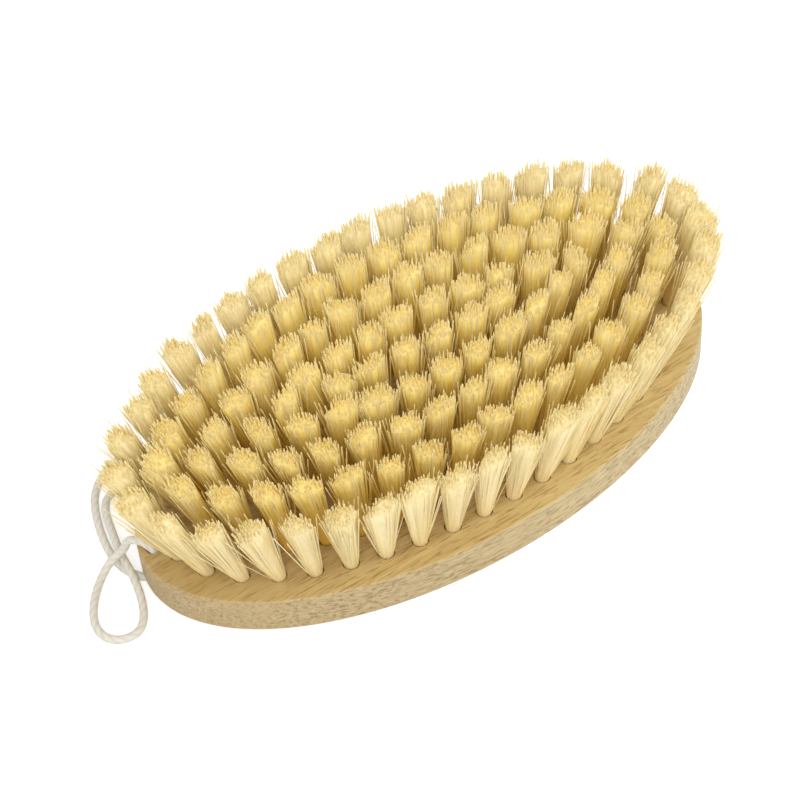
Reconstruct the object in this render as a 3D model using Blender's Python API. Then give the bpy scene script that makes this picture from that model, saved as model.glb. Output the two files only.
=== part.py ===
"""Scrub brush: an oval bamboo block, five rows of plant-fibre tufts and a cotton hanging cord.

The block lies flat on its back with the tufts pointing up. The origin is the middle of the
block's flat back, +X runs along the length and +Z points from the block to the tuft tips.
All lengths are metres.
"""
import math

import bmesh
import bpy
import numpy as np
from mathutils import Matrix, Vector

MM = 0.001

# Block
BLOCK_LENGTH = 160.0 * MM
BLOCK_WIDTH = 84.0 * MM
BLOCK_THICKNESS = 11.0 * MM
TOP_EDGE_ROUNDING = 0.5 * MM
LOWER_EDGE_ROUNDING = 1.2 * MM
OUTLINE_SEGMENTS = 72

# Tuft holes: four oval rows follow the outline, and a straight row fills the middle
EDGE_TO_OUTER_ROW = 7.7 * MM
HOLE_DIAMETER = 4.2 * MM
HOLE_DEPTH = 8.0 * MM
TUFT_SIDES = 8
OVAL_ROW_COUNTS = (40, 34, 28, 20)
OVAL_ROW_START_SHARES = (0.135, 0.5, 0.0, 0.0)
OVAL_ROW_NAMES = ("outer_row", "second_row", "third_row", "inner_row")
OVAL_ROW_GROUPS = ((5,) * 8, (6, 5, 6) * 2, (1, 7, 6) * 2, (1, 9) * 2)
CENTRE_ROW_COUNT = 6
CENTRE_ROW_LENGTH_SHARE = 0.51

# Tufts: packed in the hole, fanned out above it and trimmed flat
TUFT_CLEARANCE = 0.3 * MM
TUFT_FREE_LENGTH = 26.3 * MM
FAN_LENGTH_SHARE = 0.12
FAN_WIDTH_SHARE = 0.20
TIP_DEPTH_SHARE = 0.34
TIP_OVERLAP = 0.4 * MM

# Hanging cord
CORD_DIAMETER = 2.0 * MM
CORD_CLEARANCE = 0.35 * MM
CORD_POINT_SPACING = 2.6 * MM
CHANNEL_POINT_SPACING = 1.3 * MM

OVERRUN = 1.0 * MM
WELD_DISTANCE = 0.01 * MM

# The cord's route. Its parts under the tip and in the loops are measured from the floor below the
# middle of the block's tip, and its part through the hole from the top face above there.
CORD_THROUGH_TOP = [Vector(point) * MM for point in (
    (4.0, 3.1, -5.3), (4.0, 3.1, -2.4), (3.35, 4.15, 0.5), (1.8, 6.65, 1.8))]
CORD_LOOPS = [Vector(point) * MM for point in (
    (0.2, 9.15, 11.6), (-0.6, 10.4, 8.7), (-1.8, 11.6, 6.1), (-4.2, 12.3, 3.8),
    (-7.3, 11.5, 1.7), (-10.4, 9.0, 1.05), (-13.8, 4.7, 1.05), (-16.1, -1.4, 1.05),
    (-14.2, -6.4, 1.05), (-9.4, -7.8, 1.05), (-6.0, -5.4, 1.05), (-3.8, -1.2, 1.4),
    (-2.4, 3.6, 2.5), (-1.6, 8.6, 3.3), (-1.0, 13.2, 3.3), (1.2, 22.3, 2.6),
    (2.6, 27.0, 1.85), (4.6, 31.0, 1.25), (8.6, 33.1, 1.05), (16.2, 32.2, 1.05),
    (19.4, 35.1, 1.05), (18.9, 39.4, 1.05), (15.3, 41.4, 1.05), (11.9, 41.1, 1.05),
    (8.4, 39.3, 1.05), (5.2, 36.7, 1.05), (2.7, 33.4, 1.05), (0.5, 28.5, 1.05),
    (-1.4, 22.2, 1.05), (-2.4, 16.0, 1.05))]
CORD_UNDER_TIP = [Vector(point) * MM for point in (
    (-2.1, 10.9, 1.05), (-0.7, 7.3, 1.05), (1.2, 5.0, 1.1), (2.65, 3.95, 1.8),
    (3.55, 3.35, 3.2), (4.0, 3.1, 5.3))]

HALF_LENGTH = BLOCK_LENGTH / 2
HALF_WIDTH = BLOCK_WIDTH / 2
ROW_SPACING = (HALF_WIDTH - EDGE_TO_OUTER_ROW) / len(OVAL_ROW_COUNTS)
HOLE_FLOOR = BLOCK_THICKNESS - HOLE_DEPTH
TIP_HEIGHT = BLOCK_THICKNESS + TUFT_FREE_LENGTH
TIP_HALF_DEPTH = ROW_SPACING * TIP_DEPTH_SHARE

BAMBOO = (0.62, 0.43, 0.19, 1.0)
FIBRE = (0.72, 0.52, 0.20, 1.0)
COTTON = (0.78, 0.72, 0.63, 1.0)


# Scene and collections
for old_object in list(bpy.data.objects):
    bpy.data.objects.remove(old_object, do_unlink=True)

parts_collection = bpy.data.collections.new("scrub_brush")
cutters_collection = bpy.data.collections.new("scrub_brush_cutters")
bpy.context.scene.collection.children.link(parts_collection)
bpy.context.scene.collection.children.link(cutters_collection)


def make_material(name, colour, roughness):
    material = bpy.data.materials.new(name)
    material.use_nodes = True
    shader = material.node_tree.nodes["Principled BSDF"]
    shader.inputs["Base Color"].default_value = colour
    shader.inputs["Roughness"].default_value = roughness
    shader.inputs["Metallic"].default_value = 0.0
    return material


def object_from_bmesh(name, mesh_edit, collection):
    bmesh.ops.recalc_face_normals(mesh_edit, faces=mesh_edit.faces)
    mesh = bpy.data.meshes.new(name)
    mesh_edit.to_mesh(mesh)
    mesh_edit.free()
    new_object = bpy.data.objects.new(name, mesh)
    collection.objects.link(new_object)
    return new_object


def hide_cutter(cutter):
    cutter.hide_render = True
    cutter.display_type = "WIRE"


def cut(target, cutter, name):
    modifier = target.modifiers.new(name, "BOOLEAN")
    modifier.operation = "DIFFERENCE"
    modifier.solver = "EXACT"
    modifier.object = cutter


# Rows of tufts
def oval_row_path(inset, steps=720):
    """Half of a row that keeps a constant distance from the outline, from +X round the back to -X."""
    path = []
    for step in range(steps + 1):
        angle = math.pi * step / steps
        normal = Vector((math.cos(angle) / HALF_LENGTH, math.sin(angle) / HALF_WIDTH)).normalized()
        on_outline = Vector((math.cos(angle) * HALF_LENGTH, math.sin(angle) * HALF_WIDTH))
        point = on_outline - normal * inset
        if point.y > 0 and (point.x >= 0) == (on_outline.x >= 0):
            path.append(point)
    path[0].y = 0
    path[-1].y = 0
    return path


def point_along(path, distance):
    for start, end in zip(path, path[1:]):
        step = (end - start).length
        if distance <= step:
            return start.lerp(end, distance / step)
        distance -= step
    return path[-1].copy()


def oval_row_places(inset, count, start_share):
    path = oval_row_path(inset)
    half_way = sum((end - start).length for start, end in zip(path, path[1:]))
    pitch = 2 * half_way / count
    places = []
    for index in range(count // 2):
        places.append(point_along(path, (index + start_share) * pitch))
    return places + [-place for place in places]


oval_rows = []
for row, (count, start_share) in enumerate(zip(OVAL_ROW_COUNTS, OVAL_ROW_START_SHARES)):
    inset = EDGE_TO_OUTER_ROW + row * ROW_SPACING
    oval_rows.append(oval_row_places(inset, count, start_share))

innermost_tip = oval_rows[-1][0].x
centre_pitch = 2 * innermost_tip * CENTRE_ROW_LENGTH_SHARE / (CENTRE_ROW_COUNT - 1)
centre_row = []
for index in range(CENTRE_ROW_COUNT):
    centre_row.append(Vector((centre_pitch * (index - (CENTRE_ROW_COUNT - 1) / 2), 0)))


# Block: an elliptical board with lightly rounded rims
block_edit = bmesh.new()
bmesh.ops.create_cone(block_edit, cap_ends=True, segments=OUTLINE_SEGMENTS,
                      radius1=1, radius2=1, depth=1)
bmesh.ops.scale(block_edit, vec=(HALF_LENGTH, HALF_WIDTH, BLOCK_THICKNESS), verts=block_edit.verts)
bmesh.ops.translate(block_edit, vec=(0, 0, BLOCK_THICKNESS / 2), verts=block_edit.verts)
for rim_height, rounding, segments in ((BLOCK_THICKNESS, TOP_EDGE_ROUNDING, 2),
                                       (0, LOWER_EDGE_ROUNDING, 3)):
    rim = []
    block_edit.normal_update()
    for edge in block_edit.edges:
        if all(abs(vertex.co.z - rim_height) < BLOCK_THICKNESS / 4 for vertex in edge.verts):
            if len([face for face in edge.link_faces if abs(face.normal.z) > 0.5]) == 1:
                rim.append(edge)
    bmesh.ops.bevel(block_edit, geom=rim, offset=rounding, offset_type="OFFSET",
                    segments=segments, profile=0.5, affect="EDGES")
block = object_from_bmesh("handle_block", block_edit, parts_collection)
block.data.materials.append(make_material("bamboo", BAMBOO, 0.55))


# Holes: one blind eight-sided hole for each tuft, with its flat sides facing along the row
hole_edit = bmesh.new()


def eight_sided(mesh_edit, place, along, half_width, bottom, top):
    """Upright eight-sided prism whose flat sides face along the row."""
    turn = math.atan2(along.y, along.x) + math.pi / TUFT_SIDES
    centre = Matrix.Translation((place.x, place.y, (bottom + top) / 2))
    radius = half_width / math.cos(math.pi / TUFT_SIDES)
    made = bmesh.ops.create_cone(mesh_edit, cap_ends=True, segments=TUFT_SIDES,
                                 radius1=radius, radius2=radius, depth=top - bottom,
                                 matrix=centre @ Matrix.Rotation(turn, 4, "Z"))
    return made["verts"]


def along_row(places, index, closed):
    """Unit direction along the row at one tuft, from its neighbours on both sides."""
    last = len(places) - 1
    before = places[index - 1] if closed or index > 0 else places[index]
    after = places[(index + 1) % len(places)] if closed or index < last else places[index]
    return (after - before).normalized()


for places in oval_rows:
    for index, place in enumerate(places):
        eight_sided(hole_edit, place, along_row(places, index, True), HOLE_DIAMETER / 2,
                    HOLE_FLOOR, BLOCK_THICKNESS + OVERRUN)
for index, place in enumerate(centre_row):
    eight_sided(hole_edit, place, along_row(centre_row, index, False), HOLE_DIAMETER / 2,
                HOLE_FLOOR, BLOCK_THICKNESS + OVERRUN)
tuft_holes = object_from_bmesh("tuft_holes", hole_edit, cutters_collection)
hide_cutter(tuft_holes)
cut(block, tuft_holes, "tuft_holes")


# Tufts
fibre = make_material("plant_fibre", FIBRE, 0.75)


def fanned(place):
    """Where the middle of a tuft's tip is, seen from above."""
    return Vector((place.x * (1 + FAN_LENGTH_SHARE), place.y * (1 + FAN_WIDTH_SHARE)))


def side_of_tip(tip, neighbour, plain_direction, step):
    """Two corners of a tip on the side of one neighbour, or a plain side where there is none."""
    half_flat = TIP_HALF_DEPTH * math.tan(math.pi / TUFT_SIDES)
    if neighbour is None:
        middle = tip + plain_direction * TIP_HALF_DEPTH
        outward = plain_direction
    else:
        outward = (neighbour - tip).normalized()
        middle = tip + outward * ((neighbour - tip).length / 2 + step)
    across = Vector((-outward.y, outward.x)) * half_flat
    return middle - across, middle + across


def add_tuft(mesh_edit, place, along, tip, tip_along, ahead, ahead_step, behind, behind_step):
    """One tuft: a straight shank in the hole and a slanting, widening body above it."""
    shank = eight_sided(mesh_edit, place, along, HOLE_DIAMETER / 2 - TUFT_CLEARANCE,
                        HOLE_FLOOR + TUFT_CLEARANCE, BLOCK_THICKNESS)
    mouth = [vertex for vertex in shank if vertex.co.z > (HOLE_FLOOR + BLOCK_THICKNESS) / 2]
    top_face = [face for face in mouth[0].link_faces if all(corner in mouth for corner in face.verts)]
    raised = bmesh.ops.extrude_face_region(mesh_edit, geom=top_face)
    bmesh.ops.delete(mesh_edit, geom=top_face, context="FACES_ONLY")
    corners = [item for item in raised["geom"] if isinstance(item, bmesh.types.BMVert)]
    inward = Vector((-tip_along.y, tip_along.x))
    half_flat = TIP_HALF_DEPTH * math.tan(math.pi / TUFT_SIDES)
    ahead_right, ahead_left = side_of_tip(tip, ahead, tip_along, ahead_step)
    behind_left, behind_right = side_of_tip(tip, behind, -tip_along, behind_step)
    outline = [ahead_left,
               tip + inward * TIP_HALF_DEPTH + tip_along * half_flat,
               tip + inward * TIP_HALF_DEPTH - tip_along * half_flat,
               behind_left, behind_right,
               tip - inward * TIP_HALF_DEPTH - tip_along * half_flat,
               tip - inward * TIP_HALF_DEPTH + tip_along * half_flat,
               ahead_right]
    row_angle = math.atan2(along.y, along.x)
    for corner in corners:
        angle = math.atan2(corner.co.y - place.y, corner.co.x - place.x) - row_angle
        number = int(angle % (2 * math.pi) / (2 * math.pi) * TUFT_SIDES)
        corner.co = (outline[number].x, outline[number].y, TIP_HEIGHT)


def make_tufts(name, places, indices, closed):
    """Neighbouring tufts of one row, joined where their tips press together."""
    halves = (bmesh.new(), bmesh.new())
    tips = [fanned(place) for place in places]
    for order, index in enumerate(indices):
        along = along_row(places, index, closed)
        tip_along = along_row(tips, index, closed)
        neighbours = []
        steps = []
        for side in (1, -1):
            other = (index + side) % len(places)
            if len(indices) == 1 or not closed and abs(other - index) > 1:
                neighbours.append(None)
            else:
                neighbours.append(tips[other])
            steps.append(TIP_OVERLAP / 2 if other in indices else -TUFT_CLEARANCE / 2)
        add_tuft(halves[order % 2], places[index], along, tips[index], tip_along,
                 neighbours[0], steps[0], neighbours[1], steps[1])
    tufts = object_from_bmesh(name, halves[0], parts_collection)
    tufts.data.materials.append(fibre)
    if len(indices) > 1:
        others = object_from_bmesh(name + "_between", halves[1], cutters_collection)
        hide_cutter(others)
        joined = tufts.modifiers.new("join", "BOOLEAN")
        joined.operation = "UNION"
        joined.solver = "EXACT"
        joined.object = others
    else:
        halves[1].free()


for row_name, places, group_sizes in zip(OVAL_ROW_NAMES, oval_rows, OVAL_ROW_GROUPS):
    first = 0
    for number, group_size in enumerate(group_sizes, start=1):
        group = list(range(first, first + group_size))
        make_tufts(f"{row_name}_tufts_{number}", places, group, True)
        first += group_size
make_tufts("centre_tufts", centre_row, list(range(CENTRE_ROW_COUNT)), False)


# Hanging cord, and the channel that it takes through the block
def smooth_curve(points, spacing):
    """Evenly spaced points on the cubic spline through the given points."""
    places = np.array([tuple(point) for point in points])
    steps = np.sqrt(np.linalg.norm(np.diff(places, axis=0), axis=1))
    knots = np.concatenate(([0], np.cumsum(steps)))
    system = np.eye(len(places))
    bends = np.zeros_like(places)
    for index in range(1, len(places) - 1):
        before, after = steps[index - 1], steps[index]
        system[index, index - 1:index + 2] = (before, 2 * (before + after), after)
        slope_after = (places[index + 1] - places[index]) / after
        slope_before = (places[index] - places[index - 1]) / before
        bends[index] = 6 * (slope_after - slope_before)
    second = np.linalg.solve(system, bends)
    fine = []
    for index, step in enumerate(steps):
        start, end = places[index], places[index + 1]
        for share in np.linspace(0, 1, 40, endpoint=index == len(steps) - 1):
            rest = 1 - share
            fine.append(rest * start + share * end
                        + step ** 2 / 6 * ((rest ** 3 - rest) * second[index]
                                           + (share ** 3 - share) * second[index + 1]))
    fine = np.array(fine)
    distance = np.concatenate(([0], np.cumsum(np.linalg.norm(np.diff(fine, axis=0), axis=1))))
    count = int(round(distance[-1] / spacing)) + 1
    wanted = np.linspace(0, distance[-1], count)
    return np.stack([np.interp(wanted, distance, fine[:, axis]) for axis in range(3)], axis=1)


def make_tube(name, points, radius, collection):
    curve = bpy.data.curves.new(name, "CURVE")
    curve.dimensions = "3D"
    curve.bevel_depth = radius
    curve.bevel_resolution = 2
    curve.use_fill_caps = True
    spline = curve.splines.new("POLY")
    spline.points.add(len(points) - 1)
    for spline_point, point in zip(spline.points, points):
        spline_point.co = (point[0], point[1], point[2], 1)
    tube = bpy.data.objects.new(name, curve)
    collection.objects.link(tube)
    return tube


floor_at_tip = Vector((-HALF_LENGTH, 0, 0))
top_at_tip = Vector((-HALF_LENGTH, 0, BLOCK_THICKNESS))
through_top = [top_at_tip + point for point in CORD_THROUGH_TOP]
loops = [floor_at_tip + point for point in CORD_LOOPS]
under_tip = [floor_at_tip + point for point in CORD_UNDER_TIP]
cord_points = smooth_curve(through_top + loops + under_tip, CORD_POINT_SPACING)
cord_points[:, 2] = np.maximum(cord_points[:, 2], CORD_DIAMETER / 2)
cord = make_tube("hanging_cord", cord_points, CORD_DIAMETER / 2, parts_collection)
cord.data.materials.append(make_material("cotton", COTTON, 0.9))

channel_radius = (CORD_DIAMETER / 2 + CORD_CLEARANCE) / math.cos(math.pi / TUFT_SIDES)
channel_points = smooth_curve(under_tip + through_top, CHANNEL_POINT_SPACING)
channel_curve = make_tube("cord_channel_curve", channel_points, channel_radius, cutters_collection)
bpy.context.view_layer.update()
channel_mesh = bpy.data.meshes.new_from_object(
    channel_curve.evaluated_get(bpy.context.evaluated_depsgraph_get()))
channel_edit = bmesh.new()
channel_edit.from_mesh(channel_mesh)
bmesh.ops.remove_doubles(channel_edit, verts=channel_edit.verts, dist=WELD_DISTANCE)
bmesh.ops.recalc_face_normals(channel_edit, faces=channel_edit.faces)
channel_edit.to_mesh(channel_mesh)
channel_edit.free()
cord_channel = bpy.data.objects.new("cord_channel", channel_mesh)
cord_channel.matrix_world = channel_curve.matrix_world
cutters_collection.objects.link(cord_channel)
bpy.data.objects.remove(channel_curve, do_unlink=True)
hide_cutter(cord_channel)
cut(block, cord_channel, "cord_channel")
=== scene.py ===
"""Scrub brush: an oval bamboo block set with plant-fibre tufts, and a cotton cord to hang it by."""
import math
import random

import bpy
import numpy as np
from mathutils import Matrix, Vector


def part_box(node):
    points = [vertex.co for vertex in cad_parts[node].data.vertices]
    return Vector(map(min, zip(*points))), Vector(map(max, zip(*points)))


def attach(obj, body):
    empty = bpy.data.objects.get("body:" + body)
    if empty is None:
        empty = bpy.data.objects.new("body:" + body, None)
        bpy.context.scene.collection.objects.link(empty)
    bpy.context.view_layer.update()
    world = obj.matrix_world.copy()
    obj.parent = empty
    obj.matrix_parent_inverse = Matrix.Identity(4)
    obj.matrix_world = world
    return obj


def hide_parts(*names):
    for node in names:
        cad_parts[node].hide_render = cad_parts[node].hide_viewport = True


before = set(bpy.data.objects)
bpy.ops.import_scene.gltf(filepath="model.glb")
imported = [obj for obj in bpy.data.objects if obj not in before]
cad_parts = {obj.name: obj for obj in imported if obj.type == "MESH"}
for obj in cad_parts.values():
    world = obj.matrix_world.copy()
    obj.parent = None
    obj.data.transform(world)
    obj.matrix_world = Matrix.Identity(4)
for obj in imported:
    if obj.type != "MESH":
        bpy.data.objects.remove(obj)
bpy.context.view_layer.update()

# Block: an oval board sawn from glued bamboo strips, with its rims sanded round. It is drilled
# with a blind hole for each tuft, and a hole through one tip takes the hanging cord.
MM = 0.001
TOP_ROUNDING = 0.5 * MM
LOWER_ROUNDING = 1.2 * MM
RIM_BAND = 0.6 * MM
OUTLINE_STEPS = 288
RIM_STEPS = 6
SOFT_EDGE_ANGLE = math.radians(32)
EDGE_TO_OUTER_ROW = 7.7 * MM
HOLE_DIAMETER = 4.2 * MM
HOLE_DEPTH = 8.0 * MM
HOLE_SIDES = 28
OVERRUN = 1.0 * MM
CHANNEL_POINT_SPACING = 0.8 * MM
CHANNEL_SIDES = 20
ROW_NAMES = ("outer_row", "second_row", "third_row", "inner_row")
ROW_COUNTS = (40, 34, 28, 20)
ROW_START_SHARES = (0.135, 0.5, 0.0, 0.0)
CENTRE_ROW_COUNT = 6
CENTRE_ROW_LENGTH_SHARE = 0.51
CORD_DIAMETER = 2.0 * MM
CORD_CLEARANCE = 0.35 * MM

half_length, half_width, block_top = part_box("handle_block")[1]
row_spacing = (half_width - EDGE_TO_OUTER_ROW) / len(ROW_COUNTS)
floor_at_tip = Vector((-half_length, 0, 0))
top_at_tip = Vector((-half_length, 0, block_top))
cord_through_top = [top_at_tip + Vector(point) * MM for point in (
    (4.0, 3.1, -5.3), (4.0, 3.1, -2.4), (3.35, 4.15, 0.5), (1.8, 6.65, 1.8))]
cord_under_tip = [floor_at_tip + Vector(point) * MM for point in (
    (-2.1, 10.9, 1.05), (-0.7, 7.3, 1.05), (1.2, 5.0, 1.1), (2.65, 3.95, 1.8),
    (3.55, 3.35, 3.2), (4.0, 3.1, 5.3))]


def link_mesh(name, points, edges=(), faces=()):
    """An object at the origin whose mesh holds these points, edges and faces."""
    mesh = bpy.data.meshes.new(name)
    mesh.from_pydata([tuple(point) for point in points], edges, faces)
    made = bpy.data.objects.new(name, mesh)
    bpy.context.scene.collection.objects.link(made)
    return made


def on_oval(angle, inset, height=0.0):
    """A point of the oval outline, and the one that lies straight inside it by an inset."""
    normal = Vector((math.cos(angle) / half_length, math.sin(angle) / half_width, 0)).normalized()
    on_outline = Vector((math.cos(angle) * half_length, math.sin(angle) * half_width, height))
    return on_outline, on_outline - normal * inset


def oval_ring(inset, height):
    """Points that keep a constant distance inside the oval outline, at one height."""
    return [on_oval(2 * math.pi * step / OUTLINE_STEPS, inset, height)[1] for step in range(OUTLINE_STEPS)]


def rounded_rim(rounding, height, direction):
    """Insets and heights of the rings that turn a face of the board into its side."""
    rings = [(rounding + RIM_BAND, height)]
    for step in range(RIM_STEPS + 1):
        angle = math.pi / 2 * step / RIM_STEPS
        rings.append((rounding * (1 - math.sin(angle)),
                      height + direction * rounding * (1 - math.cos(angle))))
    return rings + [(0, height + direction * (rounding + RIM_BAND))]


def smooth_curve(points, spacing, steps_between=40):
    """Evenly spaced points on the cubic spline through the given points."""
    places = np.array([tuple(point) for point in points])
    steps = np.sqrt(np.linalg.norm(np.diff(places, axis=0), axis=1))
    system = np.eye(len(places))
    bends = np.zeros_like(places)
    for index in range(1, len(places) - 1):
        before, after = steps[index - 1], steps[index]
        system[index, index - 1:index + 2] = (before, 2 * (before + after), after)
        slope_after = (places[index + 1] - places[index]) / after
        slope_before = (places[index] - places[index - 1]) / before
        bends[index] = 6 * (slope_after - slope_before)
    second = np.linalg.solve(system, bends)
    fine = []
    for index, step in enumerate(steps):
        start, end = places[index], places[index + 1]
        for share in np.linspace(0, 1, steps_between, endpoint=index == len(steps) - 1):
            rest = 1 - share
            fine.append(rest * start + share * end
                        + step ** 2 / 6 * ((rest ** 3 - rest) * second[index]
                                           + (share ** 3 - share) * second[index + 1]))
    fine = np.array(fine)
    distance = np.concatenate(([0], np.cumsum(np.linalg.norm(np.diff(fine, axis=0), axis=1))))
    wanted = np.linspace(0, distance[-1], int(round(distance[-1] / spacing)) + 1)
    return np.stack([np.interp(wanted, distance, fine[:, axis]) for axis in range(3)], axis=1)


def line_of(name, points):
    """An object whose mesh is one open line through the points."""
    return link_mesh(name, points, [(index, index + 1) for index in range(len(points) - 1)])


# Places of the holes, in rows that follow the outline and a straight row in the middle
def oval_row_path(inset, steps=720):
    """Half of a row's oval, from the end at the right to the end at the left."""
    path = []
    for step in range(steps + 1):
        on_outline, point = on_oval(math.pi * step / steps, inset)
        if point.y > 0 and (point.x >= 0) == (on_outline.x >= 0):
            path.append(point)
    path[0].y = 0
    path[-1].y = 0
    return path


def point_along(path, distance):
    """The point that lies so far along a path."""
    for start, end in zip(path, path[1:]):
        step = (end - start).length
        if distance <= step:
            return start.lerp(end, distance / step)
        distance -= step
    return path[-1].copy()


rows = {}
for number, (name, count, start_share) in enumerate(zip(ROW_NAMES, ROW_COUNTS, ROW_START_SHARES)):
    path = oval_row_path(EDGE_TO_OUTER_ROW + number * row_spacing)
    pitch = 2 * sum((end - start).length for start, end in zip(path, path[1:])) / count
    half_row = [point_along(path, (index + start_share) * pitch) for index in range(count // 2)]
    rows[name] = half_row + [-place for place in half_row]
centre_pitch = 2 * rows["inner_row"][0].x * CENTRE_ROW_LENGTH_SHARE / (CENTRE_ROW_COUNT - 1)
rows["centre"] = [Vector((centre_pitch * (index - (CENTRE_ROW_COUNT - 1) / 2), 0, 0))
                  for index in range(CENTRE_ROW_COUNT)]


def neighbours(name, index):
    """Numbers of the tufts on both sides of one in a row. Where the row ends, it is its own neighbour."""
    count = len(rows[name])
    if name == "centre":
        return max(index - 1, 0), min(index + 1, count - 1)
    return (index - 1) % count, (index + 1) % count


# Helpers that build a node tree and run a tree of Geometry Nodes on an object
def add_node(tree, kind, inputs=None, **settings):
    """One node, with its settings made and its sockets joined or given their values."""
    node = tree.nodes.new(kind)
    for name, value in settings.items():
        setattr(node, name, value)
    for name, value in (inputs or {}).items():
        if isinstance(value, bpy.types.NodeSocket):
            tree.links.new(value, node.inputs[name])
        else:
            node.inputs[name].default_value = value
    return node


def calculate(tree, operation, *values):
    """One sum on numbers, such as ADD or MULTIPLY."""
    return add_node(tree, "ShaderNodeMath", dict(enumerate(values)), operation=operation).outputs[0]


def calculate_vector(tree, operation, *values, scale=None):
    """One sum on vectors, or on a vector and the number that scales it."""
    inputs = dict(enumerate(values))
    if scale is not None:
        inputs["Scale"] = scale
    return add_node(tree, "ShaderNodeVectorMath", inputs, operation=operation).outputs[0]


def start_tree(name, sizes):
    """A new tree that takes a geometry and named sizes, and gives a geometry."""
    tree = bpy.data.node_groups.new(name, "GeometryNodeTree")
    tree.interface.new_socket("Geometry", in_out="OUTPUT", socket_type="NodeSocketGeometry")
    tree.interface.new_socket("Geometry", in_out="INPUT", socket_type="NodeSocketGeometry")
    for size, kind in sizes.items():
        tree.interface.new_socket(size, in_out="INPUT", socket_type="NodeSocket" + kind)
    return tree, add_node(tree, "NodeGroupInput").outputs


def end_tree(tree, geometry, material):
    """Ends a tree in Realize Instances and Set Material."""
    real = add_node(tree, "GeometryNodeRealizeInstances", {"Geometry": geometry})
    finished = add_node(tree, "GeometryNodeSetMaterial", {"Geometry": real.outputs[0], "Material": material})
    add_node(tree, "NodeGroupOutput", {"Geometry": finished.outputs[0]})


def run_tree(tree, target, sizes):
    """Runs a tree on an object, and keeps the result as the object's plain mesh."""
    modifier = target.modifiers.new(tree.name, "NODES")
    modifier.node_group = tree
    for socket in tree.interface.items_tree:
        if socket.in_out == "INPUT" and socket.name in sizes:
            modifier[socket.identifier] = sizes[socket.name]
    bpy.context.view_layer.update()
    graph = bpy.context.evaluated_depsgraph_get()
    made = bpy.data.meshes.new_from_object(target.evaluated_get(graph), preserve_all_data_layers=True,
                                           depsgraph=graph)
    target.modifiers.remove(modifier)
    target.data = made


def new_material(name, roughness):
    """An empty material, and its tree, shader and surface coordinates."""
    material = bpy.data.materials.new(name)
    material.use_nodes = True
    tree = material.node_tree
    shader = tree.nodes["Principled BSDF"]
    shader.inputs["Roughness"].default_value = roughness
    place = add_node(tree, "ShaderNodeTexCoord").outputs["Object"]
    return material, tree, shader, place


def noise(tree, place, scale, detail=2.0, stretch=(1, 1, 1), roughness=0.5):
    """Noise of so many spots per metre, stretched along the axes where stretch is small."""
    scaled = add_node(tree, "ShaderNodeMapping", {"Vector": place, "Scale": stretch}).outputs[0]
    return add_node(tree, "ShaderNodeTexNoise", {"Vector": scaled, "Scale": scale, "Detail": detail,
                                                 "Roughness": roughness}).outputs["Fac"]


def between(tree, value, low, high, to_low=0.0, to_high=1.0):
    """Turns a value that runs from low to high into one that runs from to_low to to_high."""
    return add_node(tree, "ShaderNodeMapRange", {0: value, 1: low, 2: high, 3: to_low, 4: to_high},
                    clamp=True).outputs[0]


def mix_colours(tree, share, first, second):
    """The first colour where the share is 0, and the second where it is 1."""
    return add_node(tree, "ShaderNodeMix", {0: share, 6: first, 7: second}, data_type="RGBA").outputs[2]


def tint(red, green, blue):
    """Turns a screen colour, with parts from 0 to 255, into the linear colour that a shader takes."""
    shares = []
    for value in (red, green, blue):
        share = value / 255
        shares.append(share / 12.92 if share <= 0.04045 else ((share + 0.055) / 1.055) ** 2.4)
    return (*shares, 1.0)


def add_bump(tree, shader, height, distance):
    """Fine relief on a surface, with its full height given as a distance."""
    bump = add_node(tree, "ShaderNodeBump", {"Height": height, "Distance": distance, "Strength": 1.0})
    tree.links.new(bump.outputs[0], shader.inputs["Normal"])


# Bamboo: streaks run along the board, and its tips and sides show the cut ends of the fibres
bamboo, tree, shader, place = new_material("bamboo", 0.5)
facing = add_node(tree, "ShaderNodeSeparateXYZ", {0: add_node(tree, "ShaderNodeTexCoord").outputs["Normal"]})
flat_share = between(tree, calculate(tree, "ABSOLUTE", facing.outputs[2]), 0.35, 0.9)
broad = noise(tree, place, 60, 2.0, (0.25, 1, 1))
streaks = noise(tree, place, 420, 3.0, (0.035, 1, 1), 0.6)
fine_streaks = noise(tree, place, 1500, 3.0, (0.03, 1, 1), 0.65)
pores = noise(tree, place, 1500, 2.0, (0.15, 1, 1), 0.7)
dashes = noise(tree, place, 1900, 2.0, (0.1, 1, 1), 0.6)
face_colour = mix_colours(tree, between(tree, streaks, 0.36, 0.66), tint(198, 168, 102), tint(222, 198, 138))
face_colour = mix_colours(tree, between(tree, fine_streaks, 0.56, 0.70, 0, 0.75), face_colour,
                          tint(158, 122, 68))
side_colour = mix_colours(tree, between(tree, fine_streaks, 0.35, 0.65), tint(180, 158, 112),
                          tint(214, 196, 152))
side_colour = mix_colours(tree, between(tree, pores, 0.52, 0.64, 0, 0.8), side_colour, tint(132, 102, 62))
face_colour = mix_colours(tree, between(tree, dashes, 0.53, 0.64, 0, 0.65), face_colour, tint(134, 98, 54))
colour = mix_colours(tree, flat_share, side_colour, face_colour)
along_board = add_node(tree, "ShaderNodeSeparateXYZ", {0: place}).outputs[0]
# The board turns gradually darker towards the tip that takes the cord.
cord_end_share = between(tree, along_board, 0.25 * half_length, -half_length, 0, 0.4)
colour = mix_colours(tree, cord_end_share, colour, tint(160, 126, 74))
colour = mix_colours(tree, between(tree, broad, 0.3, 0.7, 0, 0.3), colour, tint(206, 180, 124))
tree.links.new(colour, shader.inputs["Base Color"])
add_bump(tree, shader, calculate(tree, "SUBTRACT", fine_streaks, calculate(tree, "MULTIPLY", pores, 0.6)),
         0.12 * MM)

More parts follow.
